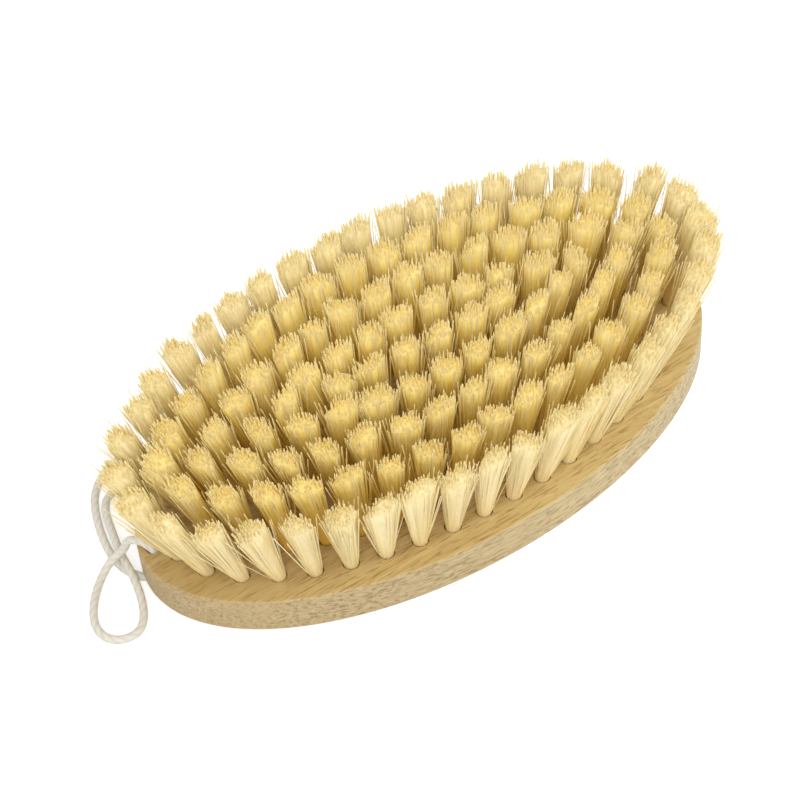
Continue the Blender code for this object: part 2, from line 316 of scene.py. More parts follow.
rim_rings = rounded_rim(LOWER_ROUNDING, 0, 1) + rounded_rim(TOP_ROUNDING, block_top, -1)[::-1]
points = []
faces = []
for inset, height in rim_rings:
    points += oval_ring(inset, height)
for ring in range(len(rim_rings) - 1):
    for step in range(OUTLINE_STEPS):
        here = ring * OUTLINE_STEPS
        after = (step + 1) % OUTLINE_STEPS
        faces.append((here + step, here + after, here + OUTLINE_STEPS + after, here + OUTLINE_STEPS + step))
faces.append(tuple(range(OUTLINE_STEPS))[::-1])
faces.append(tuple(range(len(points) - OUTLINE_STEPS, len(points))))
block = link_mesh("bamboo_block", points, faces=faces)

tuft_places = link_mesh("tuft_places", [place for places in rows.values() for place in places])
channel_line = line_of("cord_channel", smooth_curve(cord_under_tip + cord_through_top,
                                                     CHANNEL_POINT_SPACING))

tree, sizes = start_tree("drilled_block", {
    "Tuft Places": "Object", "Cord Channel": "Object", "Block Top": "Float", "Hole Diameter": "Float",
    "Hole Depth": "Float", "Hole Sides": "Int", "Channel Diameter": "Float", "Channel Sides": "Int",
    "Overrun": "Float", "Material": "Material"})
holes_at = add_node(tree, "GeometryNodeObjectInfo", {"Object": sizes["Tuft Places"]}).outputs["Geometry"]
drill_length = calculate(tree, "ADD", sizes["Hole Depth"], sizes["Overrun"])
drill = add_node(tree, "GeometryNodeMeshCylinder", {
    "Vertices": sizes["Hole Sides"], "Depth": drill_length,
    "Radius": calculate(tree, "DIVIDE", sizes["Hole Diameter"], 2.0)}).outputs["Mesh"]
drill_middle = calculate(tree, "SUBTRACT", calculate(tree, "ADD", sizes["Block Top"], sizes["Overrun"]),
                         calculate(tree, "DIVIDE", drill_length, 2.0))
raised = add_node(tree, "GeometryNodeSetPosition", {
    "Geometry": holes_at, "Offset": add_node(tree, "ShaderNodeCombineXYZ", {2: drill_middle}).outputs[0]})
drills = add_node(tree, "GeometryNodeInstanceOnPoints", {"Points": raised.outputs[0], "Instance": drill})
drills = add_node(tree, "GeometryNodeRealizeInstances", {"Geometry": drills.outputs[0]})
channel = add_node(tree, "GeometryNodeObjectInfo", {"Object": sizes["Cord Channel"]}).outputs["Geometry"]
channel = add_node(tree, "GeometryNodeMeshToCurve", {"Mesh": channel}).outputs[0]
channel_profile = add_node(tree, "GeometryNodeCurvePrimitiveCircle", {
    "Resolution": sizes["Channel Sides"],
    "Radius": calculate(tree, "DIVIDE", sizes["Channel Diameter"], 2.0)}).outputs[0]
channel = add_node(tree, "GeometryNodeCurveToMesh", {
    "Curve": channel, "Profile Curve": channel_profile, "Fill Caps": True}).outputs[0]
cutters = add_node(tree, "GeometryNodeJoinGeometry", {"Geometry": drills.outputs[0]})
tree.links.new(channel, cutters.inputs[0])
drilled = add_node(tree, "GeometryNodeMeshBoolean", {
    "Mesh 1": sizes["Geometry"], "Mesh 2": cutters.outputs[0]}, operation="DIFFERENCE", solver="EXACT")
end_tree(tree, drilled.outputs[0], sizes["Material"])
run_tree(tree, block, {
    "Tuft Places": tuft_places, "Cord Channel": channel_line, "Block Top": block_top,
    "Hole Diameter": HOLE_DIAMETER, "Hole Depth": HOLE_DEPTH, "Hole Sides": HOLE_SIDES,
    "Channel Diameter": CORD_DIAMETER + 2 * CORD_CLEARANCE, "Channel Sides": CHANNEL_SIDES,
    "Overrun": OVERRUN, "Material": bamboo})
block.data.shade_smooth()
block.data.set_sharp_from_angle(angle=SOFT_EDGE_ANGLE)
bpy.data.objects.remove(tuft_places)
bpy.data.objects.remove(channel_line)
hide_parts("handle_block")
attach(block, "root")

# Staples: a short strip of flat wire lies across the bottom of each hole. Its ends are driven
# into the wood, and it holds the folded middle of the tuft down.
STAPLE_LENGTH = 4.8 * MM
STAPLE_HEIGHT = 1.6 * MM
STAPLE_THICKNESS = 0.3 * MM
STAPLE_STEPS = 6

steel, tree, shader, place = new_material("staple_wire", 0.34)
shader.inputs["Metallic"].default_value = 1.0
scratches = noise(tree, place, 3000, 3.0)
colour = mix_colours(tree, scratches, tint(150, 140, 120), tint(205, 195, 170))
tree.links.new(colour, shader.inputs["Base Color"])

tree, sizes = start_tree("row_of_staples", {
    "Staple Length": "Float", "Staple Height": "Float", "Staple Thickness": "Float",
    "Staple Steps": "Int", "Material": "Material"})
half_staple = calculate(tree, "DIVIDE", sizes["Staple Length"], 2.0)
other_end = calculate(tree, "MULTIPLY", half_staple, -1.0)
arch = add_node(tree, "GeometryNodeCurveQuadraticBezier", {
    "Resolution": sizes["Staple Steps"],
    "Start": add_node(tree, "ShaderNodeCombineXYZ", {0: half_staple}).outputs[0],
    "Middle": add_node(tree, "ShaderNodeCombineXYZ", {2: sizes["Staple Height"]}).outputs[0],
    "End": add_node(tree, "ShaderNodeCombineXYZ", {0: other_end}).outputs[0]})
strip = add_node(tree, "GeometryNodeCurvePrimitiveQuadrilateral", {
    "Width": sizes["Staple Thickness"], "Height": sizes["Staple Height"]})
wire = add_node(tree, "GeometryNodeCurveToMesh", {
    "Curve": arch.outputs[0], "Profile Curve": strip.outputs[0], "Fill Caps": True})
turned = add_node(tree, "GeometryNodeInputNamedAttribute", {"Name": "turn"}, data_type="FLOAT_VECTOR")
turned = add_node(tree, "FunctionNodeEulerToRotation", {0: turned.outputs[0]})
wires = add_node(tree, "GeometryNodeInstanceOnPoints", {
    "Points": sizes["Geometry"], "Instance": wire.outputs[0], "Rotation": turned.outputs[0]})
end_tree(tree, wires.outputs[0], sizes["Material"])

staple_points = []
staple_turns = []
for name, places in rows.items():
    for index, place in enumerate(places):
        before, after = neighbours(name, index)
        along = places[after] - places[before]
        staple_points.append(place + Vector((0, 0, block_top - HOLE_DEPTH + STAPLE_HEIGHT / 2)))
        staple_turns += (0, 0, math.atan2(along.y, along.x) + math.pi / 2)
staples = link_mesh("tuft_staples", staple_points)
staples.data.attributes.new("turn", "FLOAT_VECTOR", "POINT").data.foreach_set("vector", staple_turns)
run_tree(tree, staples, {"Staple Length": STAPLE_LENGTH, "Staple Height": STAPLE_HEIGHT,
                         "Staple Thickness": STAPLE_THICKNESS, "Staple Steps": STAPLE_STEPS,
                         "Material": steel})
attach(staples, "root")

# Tufts: a bundle of stiff plant fibres is folded over its staple and fills its hole. Above the
# board the fibres spread apart, lean outwards with their row and are trimmed to one height.
TUFT_FREE_LENGTH = 26.3 * MM
TRIM_ALLOWANCE = 0.3 * MM
FAN_LENGTH_SHARE = 0.12
FAN_WIDTH_SHARE = 0.20
LEAN_RANGE = 0.8 * MM
FIBRES_PER_TUFT = 400
FIBRE_RADIUS = 0.125 * MM
FIBRE_THICKNESS_RANGE = (0.75, 1.2)
FIBRE_SPREAD_POWER = 0.47
STRAY_RANGE = (0.1, 0.9)
FIBRE_SIDES = 3
FIBRE_SEGMENTS = 5
PACKED_SIDES = 20
PACKED_SEGMENTS = 10
PACKED_HEIGHT_SHARE = 0.95
SEGMENT_GROWTH = 1.4
SWELL_END_SHARE = 0.12
PALE_START_SHARE = 0.86
PAINTED_SHADE_LIMITS = (0.97, 0.88)
TIP_HALF_WIDTH = 4.2 * MM
TIP_WIDTH_OF_SPACING = 0.43
TIP_WIDTH_RANGE = (0.86, 1.12)
TIP_HALF_DEPTH = 2.65 * MM
TIP_DEPTH_RANGE = (0.8, 1.2)
DEPTH_ADDED_AT_ENDS = 0.5
FOOT_RADIUS = 1.75 * MM
ROW_GROUPS = {"outer_row": (5,) * 8, "second_row": (6, 5, 6) * 2, "third_row": (1, 7, 6) * 2,
              "inner_row": (1, 9) * 2, "centre": (6,)}

fibre, tree, shader, place = new_material("plant_fibre", 0.55)


def attribute(name):
    """A value that the mesh stores for each of its points."""
    return add_node(tree, "ShaderNodeAttribute", attribute_name=name).outputs["Fac"]


rise, shade, shelter = attribute("rise"), attribute("shade"), attribute("shelter")
pale, tone = attribute("pale"), attribute("tone")
streaks = noise(tree, place, 2600, 2.0, (1, 1, 0.04), 0.6)
# Painted shade and bounce light: fibres that end among the other tufts, and those in the middle of a tuft,
# turn a deep gold that is deepest near the board. Fibres in the open stay ivory, a touch deeper near the
# board too.
painted_shade_gold = mix_colours(tree, between(tree, rise, 0.0, 0.7), tint(254, 206, 72), tint(250, 223, 114))
ivory = mix_colours(tree, between(tree, rise, 0.0, 0.5), tint(250, 234, 184), tint(250, 236, 192))
colour = mix_colours(tree, shelter, ivory, painted_shade_gold)
colour = mix_colours(tree, between(tree, shade, 0.0, 1.0, 0.0, 0.3), colour, tint(248, 216, 130))
colour = mix_colours(tree, between(tree, tone, 0.0, 1.0, 0.0, 0.25), colour, tint(254, 238, 168))
# Paler tips: the pale cut ends of the fibres, made paler still on the outer fibres of a tuft as painted
# light.
colour = mix_colours(tree, pale, colour, tint(254, 240, 190))
# Darker streaks along the tufts: the fibres' own uneven tone, and on the smooth packed middle, painted shade
# of the gaps between the fibres it stands for.
colour = mix_colours(tree, between(tree, streaks, 0.5, 0.7, 0.0, 0.22), colour, tint(214, 176, 92))
tree.links.new(colour, shader.inputs["Base Color"])

tree, sizes = start_tree("tuft_fibres", {
    "Fibres per Tuft": "Int", "Fibre Radius": "Float", "Foot Radius": "Float", "Foot Swell": "Float",
    "Hole Bottom": "Float", "Block Top": "Float", "Tip Unevenness": "Float", "Broken Share": "Float",
    "Broken Length": "Float", "Crown Rise": "Float", "Trim Slant": "Float", "Clump Size": "Float",
    "Clump Pull": "Float", "Bunch Size": "Float", "Bunch Pull": "Float", "Bunch Rise": "Float",
    "Waviness": "Float", "Spread": "Float", "Fray": "Float", "Stray Share": "Float",
    "Packed Foot Share": "Float", "Packed Tip Share": "Float", "Tip Line Half Length": "Float",
    "Tip Line Half Width": "Float", "Seed": "Int", "Material": "Material"})


def random_value(number, low=0.0, high=1.0):
    """A random number for each fibre, with its own place in the seed's run."""
    seed = calculate(tree, "ADD", calculate(tree, "MULTIPLY", sizes["Seed"], 100.0), float(number))
    return add_node(tree, "FunctionNodeRandomValue", {2: low, 3: high, "Seed": seed},
                    data_type="FLOAT").outputs[1]


def stored(name, kind="FLOAT_VECTOR"):
    """Reads a named attribute in the tree that is being built."""
    return add_node(tree, "GeometryNodeInputNamedAttribute", {"Name": name}, data_type=kind).outputs[0]


def store(geometry, name, value, kind="FLOAT_VECTOR"):
    """Keeps a value as a named attribute of the points."""
    return add_node(tree, "GeometryNodeStoreNamedAttribute", {
        "Geometry": geometry, "Name": name, "Value": value}, data_type=kind, domain="POINT").outputs[0]


def combine(*parts):
    """A vector from its parts. Those left out are 0."""
    return add_node(tree, "ShaderNodeCombineXYZ", dict(enumerate(parts))).outputs[0]


def separate(vector):
    """The parts of a vector."""
    return add_node(tree, "ShaderNodeSeparateXYZ", {0: vector}).outputs


def place_across(share_along, share_across, along_size, across_size):
    """An offset in the tuft, with its two shares measured along and across its row."""
    along = stored("along")
    across = calculate_vector(tree, "CROSS_PRODUCT", (0, 0, 1), along)
    first = calculate_vector(tree, "SCALE", along, scale=calculate(tree, "MULTIPLY", share_along, along_size))
    second = calculate_vector(tree, "SCALE", across,
                              scale=calculate(tree, "MULTIPLY", share_across, across_size))
    return calculate_vector(tree, "ADD", first, second)


def follow_tuft(geometry, segments, foot_offset, end, own_offset, top_share, rim_share, smooth):
    """Moves unit tubes at the origin into their tuft: up through the hole, then out to their ends.

    The first segment of a tube fills the hole. The others get longer from the board to the tip.
    """
    in_tube = separate(add_node(tree, "GeometryNodeInputPosition").outputs[0])
    length_share = calculate(tree, "ADD", in_tube[2], 0.5)
    out_of_hole = between(tree, length_share, 0.0, 1 / segments)
    rise = calculate(tree, "POWER", between(tree, length_share, 1 / segments, 1.0), SEGMENT_GROWTH)
    rise = calculate(tree, "MULTIPLY", rise, top_share)
    in_hole = calculate(tree, "MULTIPLY", calculate(tree, "SUBTRACT", 1.0, out_of_hole), calculate(
        tree, "SUBTRACT", sizes["Block Top"], sizes["Hole Bottom"]))
    above = calculate(tree, "SUBTRACT", separate(end)[2], sizes["Block Top"])
    above = calculate(tree, "MULTIPLY", rise, above)
    height = calculate(tree, "ADD", sizes["Block Top"], calculate(tree, "SUBTRACT", above, in_hole))
    swell = calculate(tree, "MULTIPLY", between(tree, rise, 0.0, SWELL_END_SHARE), sizes["Foot Swell"])
    foot_offset = calculate_vector(tree, "SCALE", foot_offset, scale=calculate(tree, "ADD", 1.0, swell))
    foot = calculate_vector(tree, "ADD", stored("mouth"), foot_offset)
    middle = add_node(tree, "ShaderNodeMix", {0: rise, 4: foot, 5: end}, data_type="VECTOR").outputs[1]
    bend = calculate(tree, "SINE", calculate(tree, "MULTIPLY", rise, math.pi))
    bend = calculate(tree, "MULTIPLY", bend, sizes["Waviness"])
    swayed = calculate_vector(tree, "SCALE", stored("sway"), scale=bend)
    middle = calculate_vector(tree, "ADD", middle, swayed)
    flat_middle = calculate_vector(tree, "MULTIPLY", middle, (1, 1, 0))
    own = calculate_vector(tree, "MULTIPLY", combine(in_tube[0], in_tube[1]), own_offset)
    own = calculate_vector(tree, "ADD", own, combine(0, 0, height))
    geometry = store(geometry, "rise", rise, "FLOAT")
    # Paler near the tips: the pale cut ends, with painted light added on the outer fibres through rim_share.
    pale = calculate(tree, "MULTIPLY", between(tree, rise, PALE_START_SHARE, 1.0), rim_share)
    geometry = store(geometry, "pale", pale, "FLOAT")
    moved = calculate_vector(tree, "ADD", flat_middle, own)
    geometry = add_node(tree, "GeometryNodeSetPosition", {"Geometry": geometry, "Position": moved}).outputs[0]
    return add_node(tree, "GeometryNodeSetShadeSmooth", {
        "Geometry": geometry, "Shade Smooth": smooth}).outputs[0]


def painted_shade_of(end):
    """How much painted shade a fibre gets: 0 where it ends outside the outermost row's line of tips, and 1
    well inside it.
    """
    parts = separate(end)
    along_length = calculate(tree, "DIVIDE", parts[0], sizes["Tip Line Half Length"])
    along_width = calculate(tree, "DIVIDE", parts[1], sizes["Tip Line Half Width"])
    outward = add_node(tree, "ShaderNodeVectorMath", {0: combine(along_length, along_width)},
                       operation="LENGTH").outputs["Value"]
    return between(tree, outward, *PAINTED_SHADE_LIMITS)


def clumped(tip):
    """Moves a tip along with those around it, so that the fibres gather in uneven clumps."""
    clump = add_node(tree, "ShaderNodeTexNoise", {
        "Vector": tip, "Scale": calculate(tree, "DIVIDE", 1.0, sizes["Clump Size"]), "Detail": 1.0})
    clump = calculate_vector(tree, "SUBTRACT", clump.outputs["Color"], (0.5, 0.5, 0.5))
    clump = calculate_vector(tree, "SCALE", clump, scale=sizes["Clump Pull"])
    return calculate_vector(tree, "ADD", tip, clump)


def bunched(tip):
    """Draws a tip in to the middle of the few fibres around it, where the tallest of them stand."""
    bunch = add_node(tree, "ShaderNodeTexVoronoi", {
        "Vector": tip, "Scale": calculate(tree, "DIVIDE", 1.0, sizes["Bunch Size"]), "Randomness": 0.9},
        voronoi_dimensions="2D")
    middle, here = separate(bunch.outputs["Position"]), separate(tip)
    inward = combine(calculate(tree, "SUBTRACT", middle[0], here[0]),
                     calculate(tree, "SUBTRACT", middle[1], here[1]))
    inward = calculate_vector(tree, "SCALE", inward, scale=sizes["Bunch Pull"])
    height = calculate(tree, "SUBTRACT", separate(bunch.outputs["Color"])[0], bunch.outputs["Distance"])
    height = calculate(tree, "MULTIPLY", height, sizes["Bunch Rise"])
    tip = calculate_vector(tree, "ADD", tip, inward)
    return calculate_vector(tree, "ADD", tip, combine(0, 0, height))


def tubes_on(points, sides, segments, turn, scale, ends="NGON"):
    """A unit tube at the origin for each point, turned about its length."""
    tube = add_node(tree, "GeometryNodeMeshCylinder", {
        "Vertices": sides, "Side Segments": segments, "Radius": 1.0, "Depth": 1.0}, fill_type=ends)
    points = add_node(tree, "GeometryNodeSetPosition", {"Geometry": points, "Position": combine()}).outputs[0]
    turned = add_node(tree, "FunctionNodeEulerToRotation", {0: combine(0, 0, turn)})
    tubes = add_node(tree, "GeometryNodeInstanceOnPoints", {
        "Points": points, "Instance": tube.outputs[0], "Rotation": turned.outputs[0], "Scale": scale})
    return add_node(tree, "GeometryNodeRealizeInstances", {"Geometry": tubes.outputs[0]}).outputs[0]


# The single fibres of each tuft, spread nearly evenly over it, each with a flat side outward
seats = store(sizes["Geometry"], "mouth", add_node(tree, "GeometryNodeInputPosition").outputs[0])
fibres = add_node(tree, "GeometryNodeDuplicateElements", {
    "Geometry": seats, "Amount": sizes["Fibres per Tuft"]}, domain="POINT").outputs[0]
from_middle = calculate(tree, "POWER", random_value(1), FIBRE_SPREAD_POWER)
angle = random_value(2, 0.0, 2 * math.pi)
share_along = calculate(tree, "MULTIPLY", from_middle, calculate(tree, "COSINE", angle))
share_across = calculate(tree, "MULTIPLY", from_middle, calculate(tree, "SINE", angle))
fray = calculate(tree, "MULTIPLY", calculate(tree, "POWER", random_value(3), 5.0), sizes["Fray"])
is_stray = calculate(tree, "LESS_THAN", random_value(4), sizes["Stray Share"])
spread = calculate(tree, "ADD", sizes["Spread"], calculate(tree, "ADD", fray, calculate(
    tree, "MULTIPLY", is_stray, random_value(5, *STRAY_RANGE))))
tip_offset = calculate_vector(tree, "SCALE", place_across(
    share_along, share_across, stored("half_width", "FLOAT"), stored("half_depth", "FLOAT")), scale=spread)
tip = calculate_vector(tree, "ADD", stored("tip"), tip_offset)
tip = bunched(clumped(tip))
missing = calculate(tree, "SUBTRACT", 1.0, calculate(tree, "POWER", random_value(6), 2.0))
missing = calculate(tree, "MULTIPLY", missing, sizes["Tip Unevenness"])
crown = calculate(tree, "SUBTRACT", 1.0, calculate(tree, "POWER", from_middle, 2.0))
crown = calculate(tree, "MULTIPLY", crown, sizes["Crown Rise"])
slant = calculate(tree, "MULTIPLY", stored("slant", "FLOAT"), calculate(
    tree, "MULTIPLY", share_along, sizes["Trim Slant"]))
is_broken = calculate(tree, "LESS_THAN", random_value(7), sizes["Broken Share"])
broken = calculate(tree, "MULTIPLY", is_broken, random_value(8, 0.0, sizes["Broken Length"]))
missing = calculate(tree, "ADD", calculate(tree, "SUBTRACT", missing, crown), calculate(
    tree, "SUBTRACT", broken, slant))
tip = calculate_vector(tree, "SUBTRACT", tip, combine(0, 0, missing))
fibres = store(fibres, "foot_offset", place_across(
    share_along, share_across, sizes["Foot Radius"], sizes["Foot Radius"]))
# Painted shade: fibres near the middle of their tuft get some of the deep gold wherever the tuft stands.
middle_painted_shade = between(tree, from_middle, 0.5, 0.3, 0.0, 0.7)
fibres = store(fibres, "shelter", calculate(tree, "MAXIMUM", painted_shade_of(tip), middle_painted_shade), "FLOAT")
fibres = store(fibres, "rim_share", between(tree, from_middle, 0.3, 0.8, 0.6, 1.0), "FLOAT")
fibres = store(fibres, "end", tip)
fibres = store(fibres, "shade", random_value(9), "FLOAT")
fibres = store(fibres, "sway", combine(random_value(10, -1.0, 1.0), random_value(11, -1.0, 1.0)))
thickness = calculate(tree, "MULTIPLY", random_value(13, *FIBRE_THICKNESS_RANGE), sizes["Fibre Radius"])
outward = separate(tip_offset)
turn = calculate(tree, "ADD", calculate(tree, "ARCTAN2", outward[1], outward[0]), random_value(
    12, math.pi - 0.5, math.pi + 0.5))
fibres = tubes_on(fibres, FIBRE_SIDES, FIBRE_SEGMENTS, turn, combine(thickness, thickness, 1.0))
fibres = follow_tuft(fibres, FIBRE_SEGMENTS, stored("foot_offset"), stored("end"), own_offset=(1, 1, 1),
                     top_share=1.0, rim_share=stored("rim_share", "FLOAT"), smooth=False)

# The packed middle of each tuft, where no single fibre shows
packed = tubes_on(seats, PACKED_SIDES, PACKED_SEGMENTS, 0.0, (1, 1, 1), "TRIANGLE_FAN")
around = separate(add_node(tree, "GeometryNodeInputPosition").outputs[0])
packed_foot = calculate(tree, "MULTIPLY", sizes["Foot Radius"], sizes["Packed Foot Share"])
packed = store(packed, "foot_offset", place_across(around[0], around[1], packed_foot, packed_foot))
packed_width = calculate(tree, "MULTIPLY", stored("half_width", "FLOAT"), sizes["Packed Tip Share"])
packed_depth = calculate(tree, "MULTIPLY", stored("half_depth", "FLOAT"), sizes["Packed Tip Share"])
packed_end = calculate_vector(tree, "ADD", stored("tip"), place_across(
    around[0], around[1], packed_width, packed_depth))
packed_slant = calculate(tree, "MULTIPLY", stored("slant", "FLOAT"), calculate(
    tree, "MULTIPLY", around[0], sizes["Trim Slant"]))
outward = calculate(tree, "ADD", calculate(tree, "POWER", around[0], 2.0),
                    calculate(tree, "POWER", around[1], 2.0))
packed_crown = calculate(tree, "SUBTRACT", 1.0, calculate(tree, "MINIMUM", 1.0, outward))
packed_crown = calculate(tree, "MULTIPLY", packed_crown, sizes["Crown Rise"])
packed_end = calculate_vector(tree, "ADD", packed_end, combine(0, 0, calculate(
    tree, "ADD", packed_slant, packed_crown)))
packed = store(packed, "end", clumped(packed_end))
# Painted shade on the packed middle too, with a little of it even where its tuft stands in the open.
packed_painted_shade = between(tree, painted_shade_of(stored("end")), 0.0, 1.0, 0.15, 1.0)
packed = store(packed, "shelter", packed_painted_shade, "FLOAT")
packed = follow_tuft(packed, PACKED_SEGMENTS, stored("foot_offset"), stored("end"), own_offset=(0, 0, 0),
                     top_share=PACKED_HEIGHT_SHARE, rim_share=0.35, smooth=True)

both = add_node(tree, "GeometryNodeJoinGeometry", {"Geometry": fibres}).outputs[0]
tree.links.new(packed, both.node.inputs[0])
for name in ("foot_offset", "mouth", "end", "sway", "along", "tip", "half_width", "half_depth", "slant",
             "rim_share"):
    both = add_node(tree, "GeometryNodeRemoveAttribute", {"Geometry": both, "Name": name}).outputs[0]
end_tree(tree, both, sizes["Material"])
tuft_tree = tree

# One piece for each node of tufts, in which every tuft has its own lean, width, depth, slant and tone
tip_height = block_top + TUFT_FREE_LENGTH + TRIM_ALLOWANCE
tip_line_half_length = (half_length - EDGE_TO_OUTER_ROW) * (1 + FAN_LENGTH_SHARE)
tip_line_half_width = (half_width - EDGE_TO_OUTER_ROW) * (1 + FAN_WIDTH_SHARE)
chance = random.Random(7)
tuft_pieces = []
for name, places in rows.items():
    tips = [Vector((place.x * (1 + FAN_LENGTH_SHARE), place.y * (1 + FAN_WIDTH_SHARE), tip_height))
            for place in places]
    first = 0
    for number, size in enumerate(ROW_GROUPS[name], start=1):
        group = list(range(first, first + size))
        first += size
        node = "centre_tufts" if name == "centre" else f"{name}_tufts_{number}"
        tufts = link_mesh(node.replace("tufts", "fibres"), [places[index] + Vector((0, 0, block_top))
                                                            for index in group])
        directions, ends, half_widths, half_depths = [], [], [], []
        for index in group:
            before, after = neighbours(name, index)
            directions.extend((tips[after] - tips[before]).normalized())
            lean = Vector((chance.uniform(-1, 1), chance.uniform(-1, 1), 0)) * LEAN_RANGE
            ends.extend(tips[index] + lean)
            steps = [(tips[other] - tips[index]).length for other in (before, after) if other != index]
            usual_half_width = min(sum(steps) / len(steps) * TIP_WIDTH_OF_SPACING, TIP_HALF_WIDTH)
            half_widths.append(usual_half_width * chance.uniform(*TIP_WIDTH_RANGE))
            near_end = abs(tips[index].x) / tip_line_half_length
            half_depths.append(TIP_HALF_DEPTH * (chance.uniform(*TIP_DEPTH_RANGE)
                                                 + DEPTH_ADDED_AT_ENDS * near_end ** 6))
        slants = [chance.uniform(-1, 1) for index in group]
        tones = [chance.random() for index in group]
        for attribute_name, values in (("along", directions), ("tip", ends)):
            tufts.data.attributes.new(attribute_name, "FLOAT_VECTOR", "POINT").data.foreach_set(
                "vector", values)
        for attribute_name, values in (("half_width", half_widths), ("half_depth", half_depths),
                                       ("slant", slants), ("tone", tones)):
            tufts.data.attributes.new(attribute_name, "FLOAT", "POINT").data.foreach_set("value", values)
        run_tree(tuft_tree, tufts, {
            "Fibres per Tuft": FIBRES_PER_TUFT, "Fibre Radius": FIBRE_RADIUS, "Foot Radius": FOOT_RADIUS,
            "Foot Swell": 0.08, "Hole Bottom": block_top - HOLE_DEPTH + STAPLE_HEIGHT,
            "Block Top": block_top, "Tip Unevenness": 0.7 * MM, "Broken Share": 0.05,
            "Broken Length": 5 * MM, "Crown Rise": 1.6 * MM, "Trim Slant": 1.5 * MM,
            "Clump Size": 3 * MM, "Clump Pull": 3 * MM, "Bunch Size": 0.95 * MM, "Bunch Pull": 0.7,
            "Bunch Rise": 1.1 * MM, "Waviness": 0.25 * MM, "Spread": 0.95, "Fray": 0.3,
            "Stray Share": 0.07, "Packed Foot Share": 0.98, "Packed Tip Share": 0.94,
            "Tip Line Half Length": tip_line_half_length, "Tip Line Half Width": tip_line_half_width,
            "Seed": len(tuft_pieces), "Material": fibre})
        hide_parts(node)
        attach(tufts, "root")
        tuft_pieces.append(tufts)

# Cord: three strands of cotton twisted together. It passes up through the hole in the tip, out
# over the rim and back under the tip in two loose loops, and its ends meet inside the hole.
CORD_POINT_SPACING = 0.4 * MM
CORD_PATH_SPACING = 2.6 * MM
CORD_SIDES = 24
STRAND_COUNT = 3
LAY_LENGTH = 7.5 * MM
LOBE_DEPTH = 0.025
cord_loops = [floor_at_tip + Vector(point) * MM for point in (
    (0.2, 9.15, 11.6), (-0.6, 10.4, 8.7), (-1.8, 11.6, 6.1), (-4.2, 12.3, 3.8),
    (-7.3, 11.5, 1.7), (-10.4, 9.0, 1.05), (-13.8, 4.7, 1.05), (-16.1, -1.4, 1.05),
    (-14.2, -6.4, 1.05), (-9.4, -7.8, 1.05), (-6.0, -5.4, 1.05), (-3.8, -1.2, 1.4),
    (-2.4, 3.6, 2.5), (-1.6, 8.6, 3.3), (-1.0, 13.2, 3.3), (1.2, 22.3, 2.6),
    (2.6, 27.0, 1.85), (4.6, 31.0, 1.25), (8.6, 33.1, 1.05), (16.2, 32.2, 1.05),
    (19.4, 35.1, 1.05), (18.9, 39.4, 1.05), (15.3, 41.4, 1.05), (11.9, 41.1, 1.05),
    (8.4, 39.3, 1.05), (5.2, 36.7, 1.05), (2.7, 33.4, 1.05), (0.5, 28.5, 1.05),
    (-1.4, 22.2, 1.05), (-2.4, 16.0, 1.05))]

cotton, tree, shader, place = new_material("cotton", 0.9)
lobe = add_node(tree, "ShaderNodeAttribute", attribute_name="lobe").outputs["Fac"]
fuzz = noise(tree, place, 2600, 4.0, (1, 1, 1), 0.7)
# Painted shade: the cotton is darker in the grooves between the strands.
colour = mix_colours(tree, between(tree, lobe, -1.0, 0.4), tint(216, 208, 192), tint(232, 226, 212))
colour = mix_colours(tree, between(tree, fuzz, 0.35, 0.7, 0.0, 0.6), colour, tint(244, 240, 228))
tree.links.new(colour, shader.inputs["Base Color"])
shader.inputs["Sheen Weight"].default_value = 0.25
add_bump(tree, shader, fuzz, 0.15 * MM)

tree, sizes = start_tree("twisted_cord", {
    "Diameter": "Float", "Sides": "Int", "Strands": "Int", "Lay Length": "Float", "Lobe Depth": "Float",
    "Material": "Material"})
route = add_node(tree, "GeometryNodeMeshToCurve", {"Mesh": sizes["Geometry"]}).outputs[0]
reached = add_node(tree, "GeometryNodeSplineParameter").outputs["Length"]
turn = calculate(tree, "MULTIPLY", calculate(tree, "DIVIDE", reached, sizes["Lay Length"]), 2 * math.pi)
route = add_node(tree, "GeometryNodeSetCurveTilt", {"Curve": route, "Tilt": turn}).outputs[0]
strands = add_node(tree, "GeometryNodeCurvePrimitiveCircle", {
    "Resolution": sizes["Sides"], "Radius": calculate(tree, "DIVIDE", sizes["Diameter"], 2.0)}).outputs[0]
around = add_node(tree, "GeometryNodeSplineParameter").outputs["Factor"]
around = calculate(tree, "MULTIPLY", around, 2 * math.pi)
lobe = calculate(tree, "COSINE", calculate(tree, "MULTIPLY", around, sizes["Strands"]))
strands = store(strands, "lobe", lobe, "FLOAT")
swell = calculate(tree, "ADD", 1.0, calculate(tree, "MULTIPLY", stored("lobe", "FLOAT"), sizes["Lobe Depth"]))
on_circle = add_node(tree, "GeometryNodeInputPosition").outputs[0]
strands = add_node(tree, "GeometryNodeSetPosition", {
    "Geometry": strands, "Position": calculate_vector(tree, "SCALE", on_circle, scale=swell)}).outputs[0]
twisted = add_node(tree, "GeometryNodeCurveToMesh", {
    "Curve": route, "Profile Curve": strands, "Fill Caps": True}).outputs[0]
twisted = add_node(tree, "GeometryNodeSetShadeSmooth", {"Geometry": twisted}).outputs[0]
end_tree(tree, twisted, sizes["Material"])

cord_route = cord_through_top + cord_loops + cord_under_tip


def cord_line(spacing):
    """Points of the cord's middle line, nowhere lower than half its thickness above the floor."""
    line = smooth_curve(cord_route, spacing)
    line[:, 2] = np.maximum(line[:, 2], CORD_DIAMETER / 2)
    return line


